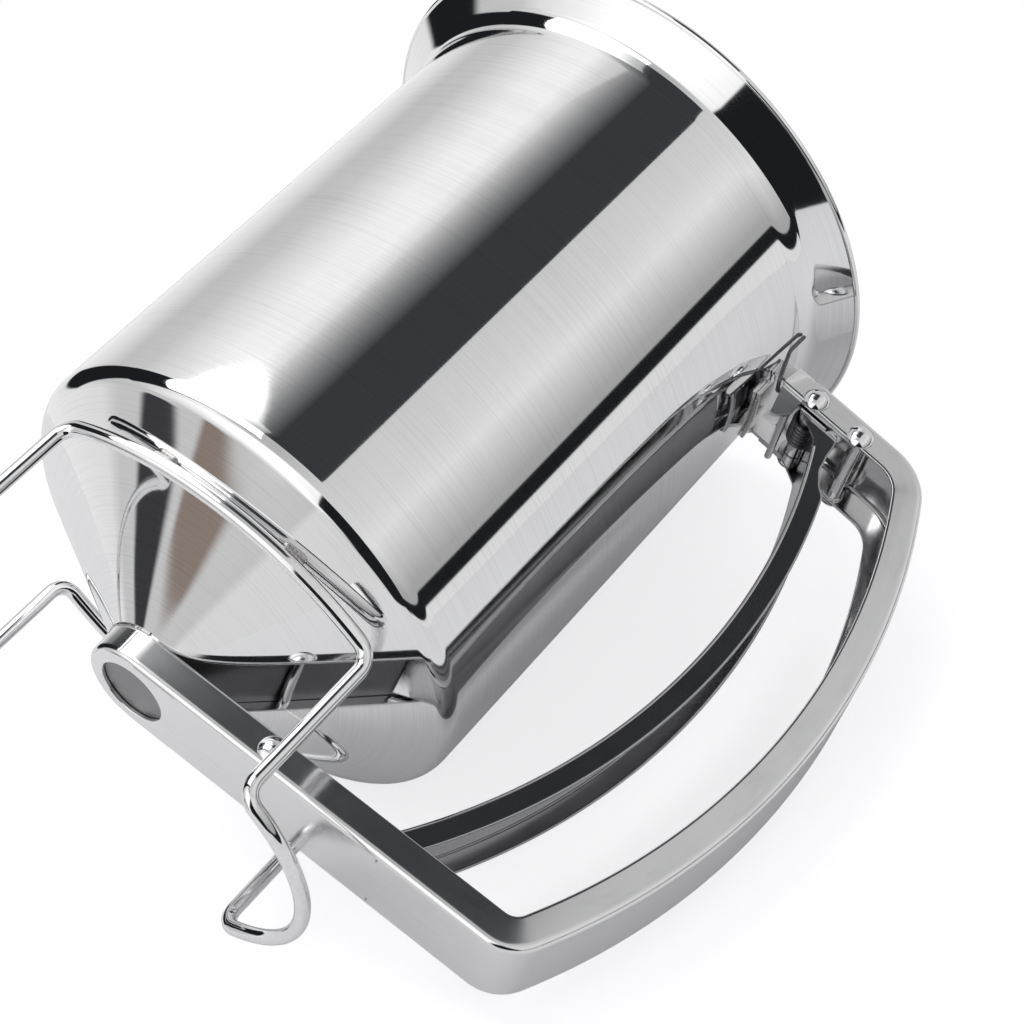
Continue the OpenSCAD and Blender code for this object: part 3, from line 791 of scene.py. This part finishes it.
def shutter_parts():
    end = LINK[0] + GATE_EAR_R
    blade = [polar((0, 0), GATE_HALF, a) for a in range(90, 271, 6)] + [(end, -GATE_HALF), (end, GATE_HALF)]
    ear = [(LINK[0] - GATE_EAR_R, 2.2), (end, 2.2)]
    ear += [polar((LINK[0], LINK[1] + 1.1), GATE_EAR_R, a) for a in range(0, 181, 12)]
    ears = [plate(ear, s * GATE_EAR_Y - GATE_EAR_T, s * GATE_EAR_Y + GATE_EAR_T, 0.2) for s in (-1, 1)]
    return [flat_plate(blade, GATE_LOW, GATE_TOP, 0.2)] + ears


piece("shutter_blade", shutter_parts(), MAT_GATE_SHADE_PAINTED, "shutter", ["shutter_plate"])


# ---------------------------------------------------------------- return spring
COIL_R = 3.45
COIL_WIRE = 0.58
COIL_PITCH = 1.5
COIL_TURNS = 6


def smooth_path(points, radius, step=8):
    """Polyline with its corners rounded."""
    out = [Vector(points[0])]
    for i in range(1, len(points) - 1):
        p0, p, p1 = Vector(points[i - 1]), Vector(points[i]), Vector(points[i + 1])
        a = p0 - p
        b = p1 - p
        d = min(radius, a.length * 0.45, b.length * 0.45)
        s = p + a.normalized() * d
        e = p + b.normalized() * d
        for j in range(step + 1):
            t = j / step
            out.append((1 - t) ** 2 * s + 2 * t * (1 - t) * p + t ** 2 * e)
    out.append(Vector(points[-1]))
    return out


def spring_path():
    """Leg up the hopper's wall, round turns on the sleeve, and a leg down inside the lever."""
    y0 = -COIL_TURNS * COIL_PITCH / 2
    start, stop, step = 90, 90 + 360 * COIL_TURNS - 65, 10
    coil = []
    for i in range(int((stop - start) / step) + 1):
        a = start + step * i
        x, z = polar(PIVOT, COIL_R, a)
        coil.append(Vector((x, y0 + COIL_PITCH * (a - start) / 360, z)))
    top = PIVOT[1] + COIL_R
    leg_up = smooth_path([(66.9, -14.6, 196.8), (66.8, -15.6, 189.5), (EDGE[0] - 0.9, -13.9, EDGE[1] - 1.9),
                          (EDGE[0] - 0.3, -9.5, EDGE[1] - 1.9), (EDGE[0] + 0.3, y0 - 1.5, top),
                          (PIVOT[0], y0, top)], 1.2)
    down = Vector((math.sin(rad(25)), 0, -math.cos(rad(25))))
    return leg_up[:-1] + coil + [coil[-1] + down * length for length in (6, 14.6)]


piece("spring", [tube(spring_path(), COIL_WIRE, 14)], MAT_SPRING, "pot",
      ["torsion_spring"], 60)


# ---------------------------------------------------------------- wire stand
LEG_X = 47.5
LEG_Y = 37.0
SIDE_Y = 52.5
BOW_X = 69.0
BEND = 5.0
FOOT_Z = WIRE - 20.0
side_z = CONE_OUT_Z + (SIDE_Y - CONE_END) * TAN - (WIRE + 0.3) / math.cos(SLOPE)
side_r = (LEG_X ** 2 + (SIDE_Y - LEG_Y) ** 2 - BEND ** 2) / (2 * (SIDE_Y - LEG_Y))
side_turn = math.degrees(math.atan2(LEG_X, side_r - (SIDE_Y - LEG_Y)) - math.atan2(BEND, side_r))
bow_r = (LEG_Y ** 2 + (BOW_X - LEG_X) ** 2 - BEND ** 2) / (2 * (BOW_X - LEG_X))
bow_turn = math.degrees(math.atan2(LEG_Y, bow_r - (BOW_X - LEG_X)) - math.atan2(BEND, bow_r))


def stand_leg(x, y, z_from, z_to, d_in, d_out):
    """Leg at (x, y): bends from level direction d_in into upright and out again along d_out."""
    up = 1 if z_to > z_from else -1
    rise = Vector((0, 0, up))
    res = []
    for j in range(10):
        t = rad(10 * j)
        c = Vector((x, y, z_from + up * BEND)) - d_in * BEND
        res.append(c + d_in * BEND * math.sin(t) - rise * BEND * math.cos(t))
    for j in range(11):
        res.append(Vector((x, y, z_from + up * BEND + (z_to - z_from - 2 * up * BEND) * j / 10)))
    for j in range(10):
        t = rad(10 * j)
        c = Vector((x, y, z_to - up * BEND)) + d_out * BEND
        res.append(c - d_out * BEND * math.cos(t) + rise * BEND * math.sin(t))
    return res


def stand_arc(c, r, a0, a1, z):
    n = int(abs(a1 - a0) / 2.5)
    return [Vector((*polar(c, r, a0 + (a1 - a0) * j / n), z)) for j in range(n + 1)]


def heading(a):
    """Level direction of a point that runs round anticlockwise, at angle a."""
    return Vector((-math.sin(rad(a)), math.cos(rad(a)), 0))


def stand_path():
    """Side arc under the near side of the cone, leg, foot bow, leg, and the same again round the back."""
    cy = SIDE_Y - side_r
    cx = BOW_X - bow_r
    pts = stand_arc((0, -cy), side_r, -90 - side_turn, -90 + side_turn, side_z)
    pts += stand_leg(LEG_X, -LEG_Y, side_z, FOOT_Z, heading(-90 + side_turn), heading(-bow_turn))
    pts += stand_arc((cx, 0), bow_r, -bow_turn, bow_turn, FOOT_Z)
    pts += stand_leg(LEG_X, LEG_Y, FOOT_Z, side_z, heading(bow_turn), heading(90 - side_turn))
    pts += stand_arc((0, cy), side_r, 90 - side_turn, 90 + side_turn, side_z)
    pts += stand_leg(-LEG_X, LEG_Y, side_z, FOOT_Z, heading(90 + side_turn), heading(180 - bow_turn))
    pts += stand_arc((-cx, 0), bow_r, 180 - bow_turn, 180 + bow_turn, FOOT_Z)
    pts += stand_leg(-LEG_X, -LEG_Y, FOOT_Z, side_z, heading(180 + bow_turn), heading(-90 - side_turn))
    clean = [pts[0]]
    for p in pts[1:]:
        if (p - clean[-1]).length > 0.2:
            clean.append(p)
    if (clean[0] - clean[-1]).length < 0.2:
        clean.pop()
    return clean


piece("stand", [tube(stand_path(), WIRE, 24, closed=True)], MAT_WIRE, "pot", ["wire_stand"], 60)


def tack(sx, sy):
    """Short weld between the stand's side arc and the cone."""
    x0, half, segs = 20.0, 3.6, 16
    y0 = SIDE_Y - side_r + math.sqrt(side_r ** 2 - x0 ** 2) - 0.5
    a = math.asin(x0 / side_r)
    d = Vector((math.cos(a), -math.sin(a), 0))
    up = Vector((0, 0, 1))
    w = d.cross(up)
    rings = []
    for i in range(segs + 1):
        t = -1 + 2 * i / segs
        k = math.sqrt(max(0.02, 1 - t ** 4)) * (1 + 0.07 * math.sin(i * 2.3))
        c = Vector((x0, y0, side_z + WIRE - 0.2)) + d * (half * t)
        rings.append([c + 1.25 * k * (math.cos(rad(30 * j)) * w + math.sin(rad(30 * j)) * up)
                      for j in range(12)])
    vs, fs = loft(rings, closed=False, caps=True)
    return [(v[0] * sx, v[1] * sy, v[2]) for v in vs], fs


piece("stand_tack_welds", [tack(sx, sy) for sx in (-1, 1) for sy in (-1, 1)], MAT_WELD, "pot",
      ["stand_welds"], 60)


# ---------------------------------------------------------------- stage
def stage_sheet(name, corners):
    """Flat four-cornered stage object with a new node material."""
    mesh = bpy.data.meshes.new(name)
    mesh.from_pydata([at(p) for p in corners], [], [[0, 1, 2, 3]])
    obj = bpy.data.objects.new(name, mesh)
    bpy.context.scene.collection.objects.link(obj)
    mat = bpy.data.materials.new(name)
    mat.use_nodes = True
    mesh.materials.append(mat)
    return obj, mat.node_tree, Nodes(mat.node_tree)


# The pot lies on its side: the floor touches it along the wall opposite the camera and under the grip.
FLOOR_UP = Vector((-0.388, -0.919, 0.07)).normalized()
FLOOR_GAP = -BODY_R - 1.5
FLOOR_SIZE = 300.0
FLOOR_GLOW = 0.70
floor_u = Vector((0, 0, 1)).cross(FLOOR_UP).normalized()
floor_v = FLOOR_UP.cross(floor_u).normalized()
floor_c = Vector((30, 0, 90))
floor_c = floor_c + FLOOR_UP * (FLOOR_GAP - floor_c.dot(FLOOR_UP))


def pale_floor():
    """White paper: plain to the camera apart from faint shadows, and clear from behind."""
    corners = [floor_c + floor_u * (FLOOR_SIZE * a) + floor_v * (FLOOR_SIZE * b)
               for a, b in ((-1, -1), (1, -1), (1, 1), (-1, 1))]
    obj, tree, t = stage_sheet("stage_floor", corners)
    if obj.data.polygons[0].normal.dot(FLOOR_UP) < 0:
        obj.data.flip_normals()
    lit = tree.nodes["Principled BSDF"]
    lit.inputs["Base Color"].default_value = (0.92, 0.92, 0.93, 1)
    lit.inputs["Roughness"].default_value = 0.9
    lit.inputs["Specular IOR Level"].default_value = 0.05
    veil = t.add("ShaderNodeBsdfDiffuse")
    veil.inputs["Color"].default_value = (0.55, 0.545, 0.56, 1)
    glow = t.add("ShaderNodeEmission")
    glow.inputs["Color"].default_value = (1.0, 0.99, 1.0, 1)
    glow.inputs["Strength"].default_value = FLOOR_GLOW
    paper = t.add("ShaderNodeAddShader")
    t.link(veil.outputs[0], paper.inputs[0])
    t.link(glow.outputs[0], paper.inputs[1])
    seen = t.add("ShaderNodeLightPath")
    side = t.add("ShaderNodeNewGeometry")
    clear = t.add("ShaderNodeBsdfTransparent")
    front = t.mix_shader(seen.outputs["Is Camera Ray"], lit.outputs[0], paper.outputs[0])
    both = t.mix_shader(side.outputs["Backfacing"], front, clear.outputs[0])
    t.link(both, tree.nodes["Material Output"].inputs["Surface"])


def dark_screen():
    """Screen beside the camera: it gives the long dark band in the hopper and the dark lower arm."""
    left, right, low, high, y = -340, 100, 90, 560, -464.0
    fade_from, fade_to = -330, -105
    corners = [(left, y, low), (right, y, low), (right, y, high), (left, y, high)]
    obj, tree, t = stage_sheet("stage_screen", corners)
    obj.visible_camera = False
    obj.visible_shadow = False
    tree.nodes.remove(tree.nodes["Principled BSDF"])
    dark = t.add("ShaderNodeEmission")
    dark.inputs["Color"].default_value = (0.040, 0.043, 0.048, 1)
    clear = t.add("ShaderNodeBsdfTransparent")
    coord = t.add("ShaderNodeTexCoord")
    sep = t.add("ShaderNodeSeparateXYZ")
    t.link(coord.outputs["Object"], sep.inputs[0])
    fade = t.map_range(sep.outputs["X"], at((fade_from, 0, 0)).x, at((fade_to, 0, 0)).x)
    faded = t.mix_shader(fade, clear.outputs[0], dark.outputs[0])
    t.link(faded, tree.nodes["Material Output"].inputs["Surface"])


pale_floor()
dark_screen()


# ---------------------------------------------------------------- surroundings
# Brightness round the pot's axis, as (azimuth, value): level and above, and steeply below.
RING = [(-180, 0.62), (-165, 0.80), (-150, 0.98), (-136, 1.0), (-126, 0.72), (-115, 0.56), (-100, 0.50),
        (-78, 0.66), (-60, 0.72), (-46, 0.82), (-33, 0.60), (-21, 0.42), (-16, 0.40), (-7, 0.78), (90, 0.85),
        (125, 0.95), (150, 0.78), (165, 0.58), (180, 0.62)]
UNDER = [(-180, 0.75), (-160, 1.0), (-146, 1.2), (-100, 1.2), (-70, 1.0), (14, 0.60), (40, 0.75), (100, 0.75),
         (140, 0.60), (176, 0.62)]
# Dark cards: azimuths, sines of elevation, colour, and the softness of both pairs of edges.
BLACK = (0.012, 0.013, 0.015)
CARDS = [
    ((-15.5, -8.5), (-0.6, 0.95), BLACK, 1.0, 0.02),
    ((-74, 11), (-0.97, -0.56), BLACK, 2.0, 0.02),
    ((146, 181), (-0.30, 0.30), BLACK, 3.0, 0.05),
    ((-181, -113), (-0.36, 0.31), BLACK, 3.0, 0.05),
    ((154, 165), (-0.81, -0.69), (0.045, 0.045, 0.05), 2.0, 0.03),
    ((167, 174), (-0.955, -0.87), (0.26, 0.21, 0.18), 3.0, 0.02),
]
OVERHEAD = (0.62, 0.62, 0.63)


def az(a):
    """Azimuth as the fraction of a turn that the ramps run over."""
    return (a + 180) / 360


def between(t, value, lo, hi, soft):
    """1 between lo and hi, falling to 0 over the soft distance outside them."""
    rise = t.map_range(value, lo - soft, lo, "SMOOTHSTEP")
    fall = t.map_range(value, hi + soft, hi, "SMOOTHSTEP")
    return t.math("MULTIPLY", rise, fall)


def studio_world():
    """A ring of pale screens and dark gaps round the pot's axis, white where the camera looks."""
    world = bpy.data.worlds.new("studio")
    bpy.context.scene.world = world
    world.use_nodes = True
    t = Nodes(world.node_tree)
    coord = t.add("ShaderNodeTexCoord")
    sep = t.add("ShaderNodeSeparateXYZ")
    t.link(coord.outputs["Generated"], sep.inputs[0])
    height = sep.outputs["Z"]
    angle = t.math("ARCTAN2", sep.outputs["Y"], sep.outputs["X"])
    turn = t.math("ADD", t.math("DIVIDE", angle, 2 * math.pi), 0.5)
    ring = t.ramp(turn, [(az(a), value) for a, value in RING])
    under = t.ramp(turn, [(az(a), value) for a, value in UNDER])
    studio = t.mix_colour(t.map_range(height, -0.50, -0.58), ring, under)
    for (a0, a1), (z0, z1), colour, soft_a, soft_z in CARDS:
        inside = t.math("MULTIPLY", between(t, turn, az(a0), az(a1), soft_a / 360),
                        between(t, height, z0, z1, soft_z))
        studio = t.mix_colour(inside, studio, colour)
    studio = t.mix_colour(t.map_range(height, 0.78, 0.90), studio, OVERHEAD)
    seen = t.add("ShaderNodeLightPath")
    shown = t.mix_colour(seen.outputs["Is Camera Ray"], studio, (1, 1, 1))
    background = world.node_tree.nodes["Background"]
    t.link(shown, background.inputs["Color"])
    background.inputs["Strength"].default_value = 1.0


studio_world()


# ---------------------------------------------------------------- camera and key light
# camera at the photograph's viewing angle
AZ, EL, ROLL = rad(14.5), rad(-30.4), rad(43.8)
back = Vector((math.sin(AZ) * math.cos(EL), -math.cos(AZ) * math.cos(EL), math.sin(EL)))
level_x = Vector((math.cos(AZ), math.sin(AZ), 0))
level_y = back.cross(level_x)
cam_x = level_x * math.cos(ROLL) + level_y * math.sin(ROLL)
cam_y = -level_x * math.sin(ROLL) + level_y * math.cos(ROLL)


def camera():
    data = bpy.data.cameras.new("camera")
    data.sensor_width = 36
    data.lens = 90.6
    data.clip_start = 0.01
    obj = bpy.data.objects.new("camera", data)
    bpy.context.scene.collection.objects.link(obj)
    pose = Matrix((cam_x, cam_y, back)).transposed().to_4x4()
    pose.translation = at((183.4, -562.8, -235.3))
    obj.matrix_world = pose
    bpy.context.scene.camera = obj
    bpy.context.scene.view_settings.view_transform = "Standard"


def key_light():
    """Weak square light above the floor."""
    side, distance = 0.9, 1.1
    data = bpy.data.lights.new("key", "AREA")
    data.shape = "RECTANGLE"
    data.size = side
    data.size_y = side
    data.energy = 5
    obj = bpy.data.objects.new("key", data)
    bpy.context.scene.collection.objects.link(obj)
    towards = (FLOOR_UP * 0.85 + cam_y * 0.3 - cam_x * 0.35).normalized()
    turned = towards.to_track_quat("Z", "Y").to_matrix().to_4x4()
    obj.matrix_world = Matrix.Translation(at(floor_c) + towards * distance) @ turned


camera()
key_light()
